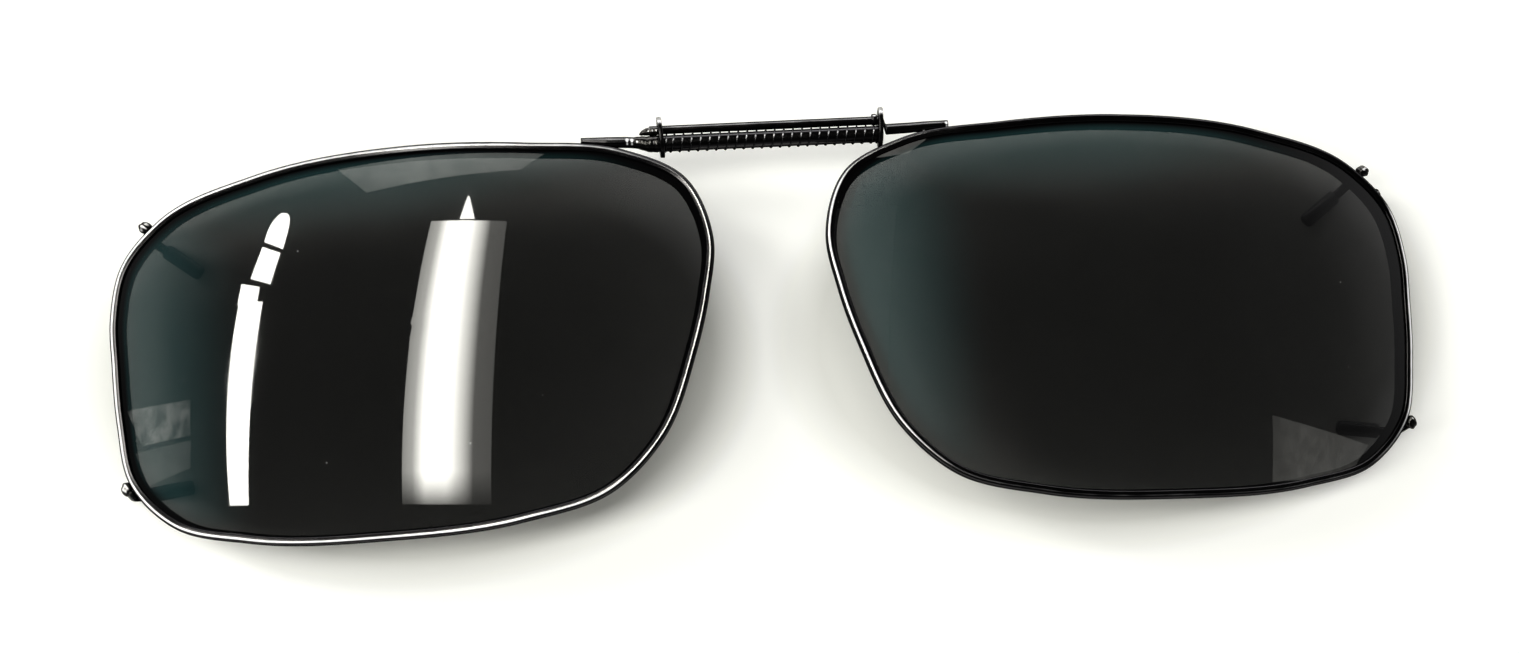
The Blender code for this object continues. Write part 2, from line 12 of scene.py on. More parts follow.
import bmesh
import bpy
import numpy as np
from mathutils import Euler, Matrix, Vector


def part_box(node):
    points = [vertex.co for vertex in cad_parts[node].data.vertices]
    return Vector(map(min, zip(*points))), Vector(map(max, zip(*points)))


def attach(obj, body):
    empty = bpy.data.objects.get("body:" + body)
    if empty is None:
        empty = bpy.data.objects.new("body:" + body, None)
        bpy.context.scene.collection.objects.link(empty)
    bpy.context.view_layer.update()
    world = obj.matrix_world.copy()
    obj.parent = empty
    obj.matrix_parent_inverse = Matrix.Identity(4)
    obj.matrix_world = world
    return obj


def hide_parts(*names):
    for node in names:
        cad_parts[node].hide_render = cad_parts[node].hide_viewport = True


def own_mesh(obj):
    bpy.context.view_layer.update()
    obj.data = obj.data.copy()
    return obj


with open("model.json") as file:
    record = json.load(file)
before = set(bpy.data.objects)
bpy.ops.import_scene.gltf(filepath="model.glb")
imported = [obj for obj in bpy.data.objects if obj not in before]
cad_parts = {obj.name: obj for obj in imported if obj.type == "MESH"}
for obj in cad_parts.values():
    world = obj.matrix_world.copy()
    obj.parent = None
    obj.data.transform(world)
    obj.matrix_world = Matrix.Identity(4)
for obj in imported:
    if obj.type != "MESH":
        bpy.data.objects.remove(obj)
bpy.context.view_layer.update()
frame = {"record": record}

MM = 0.001
record = frame["record"]
body_of = {node: body for body, nodes in record["behaviour"]["bodies"].items() for node in nodes}
slot_of = {row["node"]: row["material_slot"] for row in record["subparts"]}

# %% [markdown]
# ## Writing shader maths as plain expressions
# A finish is a small graph of nodes, and wiring each Math node by hand hides what it works out.
# `Value` wraps one output socket, so that `0.2 + 0.1 * grain` adds its own Math nodes. `Finish`
# holds a node tree and makes every other node through one call.

# %% Value and Finish


class Value:
    """An output socket that can stand in an expression as a number does."""

    def __init__(self, finish, socket):
        self.finish = finish
        self.socket = socket

    def combined(self, operation, first, second):
        return self.finish.combined(operation, first, second)

    def __add__(self, other):
        return self.combined("ADD", self, other)

    __radd__ = __add__

    def __mul__(self, other):
        return self.combined("MULTIPLY", self, other)

    __rmul__ = __mul__

    def __sub__(self, other):
        return self.combined("SUBTRACT", self, other)

    def __rsub__(self, other):
        return self.combined("SUBTRACT", other, self)

    def __gt__(self, other):
        return self.combined("GREATER_THAN", self, other)

    def __lt__(self, other):
        return self.combined("LESS_THAN", self, other)


class Finish:
    """A node tree that is filled one node at a time."""

    def __init__(self, owner):
        owner.use_nodes = True
        self.owner = owner
        self.tree = owner.node_tree

    def node(self, kind, settings=None, sockets=None, out=0):
        """A new node: its settings first, then its sockets, and one of its outputs as a Value."""
        node = self.tree.nodes.new(kind)
        for name, value in (settings or {}).items():
            if name == "stops":
                self.set_stops(node.color_ramp, value)
            else:
                setattr(node, name, value)
        for name, value in (sockets or {}).items():
            self.feed(node.inputs[name], value)
        return Value(self, node.outputs[out]) if node.outputs else None

    def set_stops(self, ramp, stops):
        while len(ramp.elements) < len(stops):
            ramp.elements.new(1.0)
        for element, (place, grey) in zip(ramp.elements, stops):
            element.position = place
            element.color = (grey, grey, grey, 1)

    def feed(self, socket, value):
        if isinstance(value, Value):
            self.tree.links.new(value.socket, socket)
        else:
            socket.default_value = value

    def blended(self, share, first, second):
        """A colour between two colours, by a share from 0 to 1."""
        sockets = {0: share, 6: first, 7: second}
        return self.node("ShaderNodeMix", {"data_type": "RGBA"}, sockets, out=2)

    def combined(self, operation, first, second):
        return self.node("ShaderNodeMath", {"operation": operation}, {0: first, 1: second})

    def place(self):
        return self.node("ShaderNodeTexCoord", out="Object")

    def grain(self, size, detail=3.0, roughness=0.55):
        """Soft noise from 0 to 1 whose lumps are about size millimetres across."""
        sockets = {"Vector": self.place(), "Scale": 1 / (size * MM), "Detail": detail,
                   "Roughness": roughness}
        return self.node("ShaderNodeTexNoise", None, sockets, out="Fac")

    def ramp(self, share, *stops):
        return self.node("ShaderNodeValToRGB", {"stops": stops}, {"Fac": share})

    def bump(self, height, depth):
        """Relief of depth millimetres where height goes from 0 to 1."""
        sockets = {"Height": height, "Distance": depth * MM}
        return self.node("ShaderNodeBump", None, sockets, out="Normal")


def new_finish(name, **constants):
    """A Principled material: the Finish to add nodes to, and a call that feeds its shader."""
    finish = Finish(bpy.data.materials.new(name))
    shader = finish.tree.nodes["Principled BSDF"]

    def shade(**sockets):
        for socket, value in sockets.items():
            finish.feed(shader.inputs[socket.replace("_", " ")], value)

    shade(**constants)
    return finish, shade


print("shader helpers ready")

# %% [markdown]
# ## Gunmetal plating
# The rims, rods, plates and hooks are dark plated wire. The plating is smooth but not flat: it has
# a faint orange peel, and it has rubbed through at sharp ends and in part along the lip. A mesh
# carries a number at each point, worked out from its shape, for that wear and also for painted
# highlights: pale lines and glints put where the lamps would catch the metal. Where the number is
# high the finish turns pale, and less like a mirror, so that these places show in any light. A
# mesh without the number, such as a hook, stays dark all over.

# %% Gunmetal
gunmetal, shade = new_finish("gunmetal", Specular_Tint=(0.06, 0.06, 0.06, 1))
wear_and_highlight = gunmetal.node("ShaderNodeAttribute", {"attribute_name": "polish"}, out="Fac")
cloud = gunmetal.grain(2.4)
peel = gunmetal.grain(0.22, detail=2.0)
# The number is part wear and part painted highlight, and both turn the plating pale.
pale_wear_and_highlight = gunmetal.ramp(wear_and_highlight + 0.30 * (cloud - 0.5), (0.18, 0.0), (0.72, 1.0))
plating = gunmetal.blended(cloud, (0.020, 0.020, 0.022, 1), (0.050, 0.048, 0.048, 1))
shade(
    Base_Color=gunmetal.blended(pale_wear_and_highlight, plating, (0.92, 0.91, 0.90, 1)),
    Metallic=1.0 - 0.9 * pale_wear_and_highlight,
    Roughness=0.14 + 0.10 * cloud + 0.12 * pale_wear_and_highlight,
    Normal=gunmetal.bump(peel, 0.004),
)
print("finish:", gunmetal.owner.name)

# %% [markdown]
# ## Braze and spring wire
# Braze is metal that ran and froze, so it has small pits and patches, and pale glints are painted
# on its lumps where they face up. Spring wire is drawn: it has fine streaks, it is duller than the
# plating, and a highlight is painted on the crown of each of its turns. The same number marks both.

# %% Braze and spring wire
braze, shade = new_finish("braze", Specular_Tint=(0.10, 0.10, 0.10, 1))
pits = braze.grain(0.18)
patches = braze.grain(0.6)
painted_glint_mark = braze.node("ShaderNodeAttribute", {"attribute_name": "polish"}, out="Fac")
glint = braze.ramp(painted_glint_mark, (0.35, 0.0), (0.80, 1.0))
dull = braze.blended(patches, (0.014, 0.014, 0.014, 1), (0.075, 0.072, 0.068, 1))
shade(
    Base_Color=braze.blended(glint, dull, (0.85, 0.84, 0.82, 1)),
    Metallic=1.0 - 0.9 * glint,
    Roughness=0.14 + 0.16 * patches,
    Normal=braze.bump(pits, 0.02),
)

spring_steel, shade = new_finish("spring_steel", Specular_Tint=(0.10, 0.10, 0.10, 1))
streaks = spring_steel.grain(0.35)
# This number paints a highlight on each turn's crown.
crown_highlight = spring_steel.node("ShaderNodeAttribute", {"attribute_name": "polish"}, out="Fac")
drawn = spring_steel.blended(streaks, (0.012, 0.012, 0.014, 1), (0.050, 0.050, 0.052, 1))
shade(
    Base_Color=spring_steel.blended(crown_highlight, drawn, (0.85, 0.85, 0.84, 1)),
    Metallic=1.0 - 0.9 * crown_highlight,
    Roughness=0.18 + 0.14 * streaks,
    Normal=spring_steel.bump(streaks, 0.004),
)
print("finishes:", braze.owner.name, spring_steel.owner.name)

# %% [markdown]
# ## Smoke-tinted lens
# The lens is a thin curved sheet, dyed so dark that less than a tenth of the light gets through.
# Its front carries nearly all of the colour here, and its back a little, because a sheet with
# both faces dark would double its tint. Alpha does the dimming, so no light is bent and the
# hooks show through in their places. The front also has smears and dust specks, and a faint teal
# glow is painted towards its left and top, as light reaching the table under the lens. A speck
# is the middle of a small cell, and only one cell in seven has one.

# %% Lens finishes
lens_front, shade = new_finish("lens_front", IOR=1.586, Specular_IOR_Level=0.8)
film = lens_front.node("ShaderNodeAttribute", {"attribute_name": "film"}, out="Fac")
smear = lens_front.grain(9.0, detail=5.0)
greasy = lens_front.ramp(smear, (0.48, 0.0), (0.75, 1.0))
SPECK_SPACING = 2.3
cells = {"Vector": lens_front.place(), "Scale": 1 / (SPECK_SPACING * MM)}
near = lens_front.node("ShaderNodeTexVoronoi", None, cells, out="Distance")
cell_colour = lens_front.node("ShaderNodeTexVoronoi", None, cells, out="Color")
chance = lens_front.node("ShaderNodeSeparateColor", None, {"Color": cell_colour})
speck = (near < 0.030) * (chance > 0.86)
# Near-black dye, turning to a painted teal glow where light would come in under the lens.
dye_and_painted_leak = lens_front.blended(film, (0.0007, 0.0007, 0.0008, 1), (0.010, 0.031, 0.031, 1))
shade(
    Base_Color=lens_front.blended(speck, dye_and_painted_leak, (0.35, 0.36, 0.34, 1)),
    Roughness=0.015 + 0.02 * greasy + 0.4 * speck,
    Alpha=0.8925 + 0.02 * smear,
    Normal=lens_front.bump(lens_front.grain(14.0, detail=1.0), 0.002),
)

lens_back, shade = new_finish("lens_back", IOR=1.586)
haze = lens_back.grain(5.0)
shade(
    Base_Color=lens_back.blended(haze, (0.004, 0.005, 0.005, 1), (0.010, 0.014, 0.013, 1)),
    Roughness=0.04 + 0.05 * haze,
    Alpha=0.16 + 0.08 * haze,
)
print("finishes:", lens_front.owner.name, lens_back.owner.name)

# %% [markdown]
# ## Soft sleeves
# Each hook's finger wears a short vinyl sleeve, so that it grips a spectacle lens and does not
# scratch it. Vinyl is satin, with a fine skin and a little dust.

# %% Vinyl
vinyl, shade = new_finish("vinyl", IOR=1.5)
skin_grain = vinyl.grain(0.15)
dust = vinyl.grain(1.6)
shade(
    Base_Color=vinyl.blended(dust, (0.010, 0.010, 0.011, 1), (0.045, 0.044, 0.042, 1)),
    Roughness=0.42 + 0.2 * dust,
    Normal=vinyl.bump(skin_grain, 0.012),
)
print("finish:", vinyl.owner.name)

# %% [markdown]
# ## Skins over rings
# Wire, rims and lenses are all a row of rings of points with faces between them. One helper
# builds such a skin, and one dresses it: it hides the CAD node that the piece stands for, and
# gives the piece its finishes and that node's body from the record.

# %% Mesh helpers
SHARP_DEGREES = 40
CORNER_STEPS = 6


def finished_mesh(name, points, faces):
    """A mesh in metres from points in millimetres, smooth but for its sharp edges."""
    mesh = bpy.data.meshes.new(name)
    mesh.from_pydata((np.asarray(points) * MM).tolist(), [], faces)
    bm = bmesh.new()
    bm.from_mesh(mesh)
    bmesh.ops.recalc_face_normals(bm, faces=bm.faces)
    bm.to_mesh(mesh)
    bm.free()
    mesh.shade_smooth()
    mesh.set_sharp_from_angle(angle=math.radians(SHARP_DEGREES))
    return mesh


def skin(name, rings, loop=False):
    """A mesh over rings of points, closed by fans at its two ends unless it runs in a loop."""
    rings = np.asarray(rings, float)
    count, sides = rings.shape[:2]
    index = np.arange(count * sides).reshape(count, sides)
    here, after = (index, np.roll(index, -1, 0)) if loop else (index[:-1], index[1:])
    quads = np.stack([here, np.roll(here, -1, 1), np.roll(after, -1, 1), after], -1)
    faces = quads.reshape(-1, 4).tolist()
    points = rings.reshape(-1, 3)
    if not loop:
        points = np.vstack([points, rings[0].mean(0), rings[-1].mean(0)])
        for hub, ring in ((count * sides, index[0]), (count * sides + 1, index[-1])):
            faces += [(hub, int(a), int(b)) for a, b in zip(ring, np.roll(ring, -1))]
    return finished_mesh(name, points, faces)


def mark(mesh, name, values):
    """Keeps one number for each point of the mesh, for its finish to read."""
    attribute = mesh.attributes.new(name, "FLOAT", "POINT")
    attribute.data.foreach_set("value", np.asarray(values, np.float32))


def facing(mesh, way, narrow):
    """How squarely each point faces a way. 1 is straight on, and narrow makes it fall faster."""
    normals = np.array([v.normal for v in mesh.vertices])
    return np.clip(normals @ unit(np.array(way, float)), 0, 1) ** narrow


def stand_in(mesh, node, *finishes):
    """An object of this mesh, with these finishes, takes the place and the body of a CAD node."""
    for finish in finishes:
        mesh.materials.append(finish.owner)
    piece = bpy.data.objects.new(f"{node}_dressed", mesh)
    bpy.context.collection.objects.link(piece)
    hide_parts(node)
    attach(piece, body_of[node])
    return piece


def rounded(corners):
    """A closed outline of (across, up, radius) corners, each cut back and rounded."""
    outline = []
    for i, (x, y, radius) in enumerate(corners):
        corner = np.array((x, y))
        arms = []
        for other in (corners[i - 1], corners[(i + 1) % len(corners)]):
            arm = np.array(other[:2]) - corner
            length = np.linalg.norm(arm)
            arms.append(corner + arm / length * min(radius, length * 0.48))
        for t in np.linspace(0, 1, CORNER_STEPS):
            outline.append(arms[0] * (1 - t) ** 2 + corner * 2 * t * (1 - t) + arms[1] * t**2)
    return np.array(outline)


def unit(vectors):
    return vectors / np.linalg.norm(vectors, axis=-1, keepdims=True)


def wire(name, path, radii, across, sides, lumps=None):
    """A round wire along a path. across is square to the path, and lumps swells the wire."""
    path = np.asarray(path, float)
    along = unit(np.gradient(path, axis=0))
    across = np.broadcast_to(np.asarray(across, float), path.shape)
    first = unit(across - along * (across * along).sum(1, keepdims=True))
    second = np.cross(along, first)
    angles = np.arange(sides) * math.tau / sides
    radii = np.broadcast_to(np.asarray(radii, float), len(path))[:, None]
    if lumps is not None:
        radii = radii * lumps(angles[None, :], np.linspace(0, 1, len(path))[:, None])
    radii = np.broadcast_to(radii, (len(path), sides))[..., None]
    spokes = np.cos(angles)[:, None] * first[:, None] + np.sin(angles)[:, None] * second[:, None]
    return skin(name, path[:, None] + radii * spokes)


print("mesh helpers ready")

# %% [markdown]
# ## The rims' line
# A rim follows the edge of its lens, and the lens front is part of a ball 95 mm in radius. The
# line is drawn flat, as shares of the lens's half width and half height, made smooth, and set
# straight up onto that ball. At each station the rim needs two directions: out of the lens, and up.

# %% The rims' line
SIDES = {"left": -1, "right": 1}
RIM_SIZE = (59.7, 39.1)
LENS_CENTRE = (35.3, -1.0042)
BALL_CENTRE = np.array((24.2163, -3.8225, -78.5424))
BALL_RADIUS = 95.0
RIM_STATIONS = 480
CURVE_STEPS = 40
OUTLINE_SHARES = (
    (0.998, 0.24), (0.955, 0.52), (0.82, 0.74), (0.50, 0.915), (0.0, 1.0),
    (-0.40, 0.98), (-0.72, 0.925), (-0.92, 0.77), (-1.0, 0.45), (-0.975, 0.15),
    (-0.92, -0.15), (-0.80, -0.57), (-0.63, -0.82), (-0.34, -0.95), (0.11, -1.0),
    (0.56, -0.957), (0.80, -0.85), (0.945, -0.61), (0.983, -0.30), (0.995, 0.0),
)


def smooth_loop(knots):
    """A smooth closed curve through the knots."""
    after = np.roll(knots, -1, 0) - knots
    spans = np.linalg.norm(after, axis=1, keepdims=True)
    slopes = after / spans
    before_spans = np.roll(spans, 1, 0)
    slopes = (np.roll(slopes, 1, 0) * spans + slopes * before_spans) / (spans + before_spans)
    t = np.linspace(0, 1, CURVE_STEPS, endpoint=False)[None, :, None]
    near, far = knots[:, None], np.roll(knots, -1, 0)[:, None]
    painted_glint_mark = slopes[:, None] * t * (1 - t) ** 2 - np.roll(slopes, -1, 0)[:, None] * t**2 * (1 - t)
    curve = near + (far - near) * t**2 * (3 - 2 * t) + painted_glint_mark * spans[:, None]
    return curve.reshape(-1, 2)


def even_loop(curve, count):
    """The closed curve at equal steps of its length."""
    closed = np.vstack([curve, curve[:1]])
    passed = np.concatenate([[0], np.linalg.norm(np.diff(closed, axis=0), axis=1).cumsum()])
    stations = np.arange(count) / count * passed[-1]
    return np.column_stack([np.interp(stations, passed, closed[:, k]) for k in (0, 1)])


def rim_stations(side):
    """Points on the lens front's outline, with the directions out and up at each."""
    knots = np.array(OUTLINE_SHARES) * np.array(RIM_SIZE) / 2 + LENS_CENTRE
    flat = even_loop(smooth_loop(knots), RIM_STATIONS)
    rise = np.sqrt(BALL_RADIUS**2 - ((flat - BALL_CENTRE[:2]) ** 2).sum(1))
    points = np.column_stack([flat, BALL_CENTRE[2] + rise])
    up = unit(points - BALL_CENTRE)
    out = unit(np.cross(np.roll(points, -1, 0) - np.roll(points, 1, 0), up))
    return [v * (SIDES[side], 1, 1) for v in (points, out, up)]


print("rim stations:", RIM_STATIONS, "first:", rim_stations("right")[0][0].round(2))

# %% [markdown]
# ## Rims
# A rim is half-round wire with a groove inside for the lens's edge. Its section is drawn once,
# with every corner rounded as rolled wire is, and carried round the line. The front lip is where
# a cloth and fingers rub, and a pale line along its crest is partly that wear and partly a
# painted highlight. A table says how bright, by the direction from the lens's middle in degrees:
# 0 is to the right and 90 is up. The two lenses differ, as their highlights do, and on the left
# lens the line moves inwards where the rim faces right.

# %% Rims
CREST_LINE = -0.49
HIGHLIGHT_SHIFT = 0.12
CREST_WIDTH = 0.105
# How bright the crest's pale line is by direction: part wear, part painted highlight.
RIM_WEAR_AND_HIGHLIGHT = {
    "left": ((0, 0.40), (60, 0.35), (80, 0.60), (95, 0.80), (130, 0.95), (180, 1.1), (235, 1.1),
             (275, 1.0), (300, 0.65), (325, 0.40), (360, 0.40)),
    "right": ((0, 1.05), (22, 0.75), (40, 0.12), (85, 0.05), (100, 0.32), (130, 0.50), (155, 1.0),
              (200, 1.05), (215, 0.75), (235, 0.32), (270, 0.28), (300, 0.30), (335, 0.70),
              (360, 1.05)),
}
RIM_SECTION = (
    (-0.91, 0.08, 0.03), (-0.91, 0.22, 0.10), (-0.44, 0.43, 0.22), (-0.12, 0.22, 0.20),
    (0.0, -0.45, 0.40), (0.0, -1.70, 0.35), (-1.0, -1.70, 0.12), (-1.0, -1.08, 0.03),
    (-0.38, -1.08, 0.03), (-0.38, 0.08, 0.03),
)


def swept_rim(side):
    points, out, up = rim_stations(side)
    section = rounded(RIM_SECTION)
    rings = points[:, None] + section[:, :1] * out[:, None] + section[:, 1:] * up[:, None]
    mesh = skin(f"rim_{side}", rings, loop=True)
    turns, levels = np.array(RIM_WEAR_AND_HIGHLIGHT[side]).T
    crest_wear_and_highlight = np.interp(np.degrees(np.arctan2(out[:, 1], out[:, 0])) % 360, turns, levels)
    # On the left lens the painted line moves inwards where the rim faces right, as a highlight
    # would.
    line = CREST_LINE - HIGHLIGHT_SHIFT * np.clip(out[:, 0], 0, 1) * (side == "left")
    crest = np.exp(-(((section[:, 0] - line[:, None]) / CREST_WIDTH) ** 2)) * (section[:, 1] > 0.1)
    mark(mesh, "polish", (crest_wear_and_highlight[:, None] * crest).ravel())
    return mesh


for side in SIDES:
    rim = stand_in(swept_rim(side), f"rim_{side}", gunmetal)
    print(rim.name, "points:", len(rim.data.vertices))

# %% [markdown]
# ## Lenses
# Each lens is a true shell between two balls, so that a lamp mirrors in it without a ripple.
# Rings run out over the front, turn over the edge inside the groove, and run in over the back.
# A number for the painted glow grows towards the left and the top of each lens, where the lamps
# would light the table beneath it, and stops short of the lip.

# %% Lenses
LENS_THICKNESS = 1.0
LENS_INSET = 0.46
LENS_RINGS = 30
LEAK_START = 0.5
LEAK_REACH = 0.4
LEAK_STOP = 0.965
LEAK_FADE = 0.04


def curved_lens(side):
    points, out, _ = rim_stations(side)
    ball = BALL_CENTRE * (SIDES[side], 1, 1)
    edge = (points - out * LENS_INSET)[::2]
    crown = edge.mean(0)
    shares = np.linspace(0, 1, LENS_RINGS + 1)[1:]
    rows = unit(crown + shares[:, None, None] * (edge - crown) - ball)
    front = ball + rows * BALL_RADIUS
    back = ball + rows[::-1] * (BALL_RADIUS - LENS_THICKNESS)
    mesh = skin(f"lens_{side}", np.vstack([front, back]))
    for radius, hub in ((BALL_RADIUS, -2), (BALL_RADIUS - LENS_THICKNESS, -1)):
        mesh.vertices[hub].co = (ball + unit(crown - ball) * radius) * MM
    spots = np.vstack([front, back]).reshape(-1, 3)
    across, upwards = ((spots[:, :2] - crown[:2]) / RIM_SIZE * 2).T
    # A painted glow of the light that the lamps would throw under the lens at its left and top.
    lit_side = np.maximum(-across, upwards - 0.3 * np.clip(across, 0, 1))
    film = np.clip((lit_side - LEAK_START) / LEAK_REACH, 0, 1)
    short = np.clip((LEAK_STOP - np.append(shares, shares[::-1])) / LEAK_FADE, 0, 1)
    film = film * film * (3 - 2 * film) * np.repeat(short, len(edge))
    mark(mesh, "film", [*film, 0, 0])
    centres = np.zeros(len(mesh.polygons) * 3)
    mesh.polygons.foreach_get("center", centres)
    depth = BALL_RADIUS - np.linalg.norm(centres.reshape(-1, 3) / MM - ball, axis=1)
    mesh.polygons.foreach_set("material_index", (depth > LENS_THICKNESS / 4).astype(int))
    return mesh


for side in SIDES:
    lens = stand_in(curved_lens(side), f"lens_{side}", lens_front, lens_back)
    print(lens.name, "size in mm:", [round(v / MM, 1) for v in lens.dimensions])

# %% [markdown]
# ## Rods
# Each rod is brazed on one rim as a bar that tapers and runs through the far half's plate. The
# lower one slopes down into a thick core for the spring, and the upper one has a short crank
# beside the plate. The cut ends keep a small chamfer that has lost its plating, and polish marks
# those ends. Glints are painted on the dents that the pliers left, and a thin highlight line is
# painted along each bar's upper edge.

# %% Rods
ROD_STATIONS = 420
ROD_SIDES = 32
BAR_RADIUS = 0.62
DENT_GLINT_WIDTH = 0.13
ROD_RADIUS = 0.43
CORE_RADIUS = 0.82
BRIDGE = np.array((0.0, 18.3817, 12.6024))
UPPER_LEVEL = 0.68
LOWER_LEVEL = -0.70
CHAMFER = 0.07
BAR_HIGHLIGHT_WAY = (0, 0.33, 0.94)
LOWER_ROD = ((-18.0, -0.10, 0.34), (-17.0, -0.20, 0.42), (-15.4, -0.34, 0.54), (-13.3, -0.43, 0.56),
             (-12.5, -0.52, 0.56), (-11.6, LOWER_LEVEL, 0.60), (-10.9, LOWER_LEVEL, CORE_RADIUS),
             (12.0, LOWER_LEVEL, CORE_RADIUS))
UPPER_ROD = ((18.6, -0.05, 0.44), (16.5, -0.12, 0.49), (14.4, -0.22, 0.53), (12.30, -0.27, 0.54),
             (12.12, UPPER_LEVEL, ROD_RADIUS), (-11.2, UPPER_LEVEL, ROD_RADIUS))


def spokes_round_x(sides):
    """Unit spokes square to X, evenly round it."""
    angles = np.arange(sides) * math.tau / sides
    return np.column_stack([0 * angles, np.sin(angles), np.cos(angles)])


def tapered_rod(name, knots, dent_glints, softness):
    """A rod along X through (x, level, radius) knots, each corner softened over some length."""
    x, level, radius = np.array(knots).T
    order = np.argsort(x)
    inset = CHAMFER * np.sign(x[-1] - x[0])
    inner = np.linspace(x[0] + inset, x[-1] - inset, ROD_STATIONS)
    stations = np.concatenate([[x[0]], inner, [x[-1]]])
    shifts = np.linspace(-softness, softness, 9)
    soft_level, radii = (
        np.mean([np.interp(stations + shift, x[order], v[order]) for shift in shifts], 0)
        for v in (level, radius)
    )
    radii[[0, -1]] -= CHAMFER
    path = BRIDGE + np.column_stack([stations, soft_level, 0 * stations])
    spokes = spokes_round_x(ROD_SIDES)
    mesh = skin(name, path[:, None] + radii[:, None, None] * spokes)
    ends = np.zeros(len(stations))
    ends[[0, -1]] = 1.0
    spots = sum(np.exp(-(((stations - spot) / DENT_GLINT_WIDTH) ** 2)) for spot in dent_glints)
    ends, spots, bar = (np.append(np.repeat(v, ROD_SIDES), [0, 0])
                        for v in (ends, spots, radii < BAR_RADIUS))
    # Worn ends, painted glints on the dents where they face two ways, and a painted highlight line
    # along each bar's upper edge.
    rows = facing(mesh, (0, 0.16, 0.99), 22) + 0.6 * facing(mesh, (0, -0.49, 0.87), 40)
    mark(mesh, "polish", ends + 1.2 * spots * rows + 0.52 * bar * facing(mesh, BAR_HIGHLIGHT_WAY, 80))
    return mesh


lower = tapered_rod("rod_lower", LOWER_ROD, (-13.42, -12.95), 0.22)
upper = tapered_rod("rod_upper", UPPER_ROD, (18.4,), 0.06)
stand_in(lower, "rod_lower", gunmetal)
stand_in(upper, "rod_upper", gunmetal)
print("rods:", len(lower.vertices), len(upper.vertices), "points")

# %% [markdown]
# ## Guide plates
# The spring is held between two oval plates, each fixed to one rod and sliding on the other.
# Rings of points make a plate's rounded edge and its two holes, and a flat fill closes each face
# between them, so the holes are round and nothing is cut. Both plates lean a little, and a pale
# highlight is painted along their upper edges, which face the window.

# %% Guide plates
PLATE_HALF = (1.5, 2.06)
PLATE_LEVEL = -0.06
PLATE_LEAN = 0.06
PLATE_EDGE = 0.1
HOLE_PLAY = 0.04
PLATE_SIDES = 64


def stamped_plate(name, low_x, high_x, lean):
    """An oval plate with rounded edges and two round holes, its top leaning along X."""
    bm = bmesh.new()
    spokes = spokes_round_x(PLATE_SIDES)

    def ring(x, level, half_depth, half_height):
        return [bm.verts.new((x, level + half_height * up, half_depth * deep))
                for _, up, deep in spokes]

    def band(first, second):
        for k in range(len(first)):
            bm.faces.new((first[k - 1], first[k], second[k], second[k - 1]))

    face_x = (high_x - low_x) / 2
    corner = [(face_x - PLATE_EDGE * (1 - math.sin(t)), PLATE_EDGE * (1 - math.cos(t)))
              for t in np.linspace(math.pi / 2, 0, 5)]
    profile = corner + [(-x, inset) for x, inset in corner[::-1]]
    outer = [ring(x, PLATE_LEVEL, PLATE_HALF[0] - inset, PLATE_HALF[1] - inset)
             for x, inset in profile]
    holes = [[ring(x, level, radius + HOLE_PLAY, radius + HOLE_PLAY) for x in (face_x, -face_x)]
             for level, radius in ((LOWER_LEVEL, CORE_RADIUS), (UPPER_LEVEL, ROD_RADIUS))]
    for first, second in [*zip(outer, outer[1:]), *holes]:
        band(first, second)
    for end in (0, -1):
        loops = [outer[end]] + [hole[end] for hole in holes]
        edges = [bm.edges.get((loop[k - 1], loop[k])) for loop in loops for k in range(len(loop))]
        bmesh.ops.triangle_fill(bm, use_beauty=True, edges=edges)
    bm.verts.index_update()
    spots = np.array([v.co for v in bm.verts])
    faces = [tuple(v.index for v in face.verts) for face in bm.faces]
    bm.free()
    rim = np.hypot(spots[:, 2] / PLATE_HALF[0], (spots[:, 1] - PLATE_LEVEL) / PLATE_HALF[1])
    spots[:, 0] += lean * spots[:, 1]
    mesh = finished_mesh(name, BRIDGE + ((low_x + high_x) / 2, 0, 0) + spots, faces)
    # A painted highlight: pale along the plate's upper edge, where it faces the window.
    edge = np.clip((rim - 0.80) / 0.15, 0, 1) * np.clip(1.4 * spots[:, 1] - 0.9, 0, 1)
    mark(mesh, "polish", 0.46 * edge)
    return mesh


PLATES = {"left": (-10.30, -9.85, -PLATE_LEAN), "right": (11.55, 12.00, PLATE_LEAN)}
for side, (low_x, high_x, lean) in PLATES.items():
    mesh = stamped_plate(f"guide_plate_{side}", low_x, high_x, lean)
    plate = stand_in(mesh, f"guide_plate_{side}", gunmetal)
    print(plate.name, "size in mm:", [round(v / MM, 2) for v in plate.dimensions])

# %% [markdown]
# ## Spring
# A compression spring is a helix whose last turns lie close, so that its ends push flat. Turns
# are counted by angle, and their spacing shrinks to less than a third at both ends.

# %% Spring
SPRING_WIRE = 0.18
SPRING_RADIUS = 0.855
SPRING_ENDS = (-9.77, 11.47)
SPRING_END_PLAY = 0.03
SPRING_TURNS = 24
POINTS_PER_TURN = 36
WIRE_SIDES = 12
CROWN_HIGHLIGHT_WAY = (0, 0.16, 0.987)


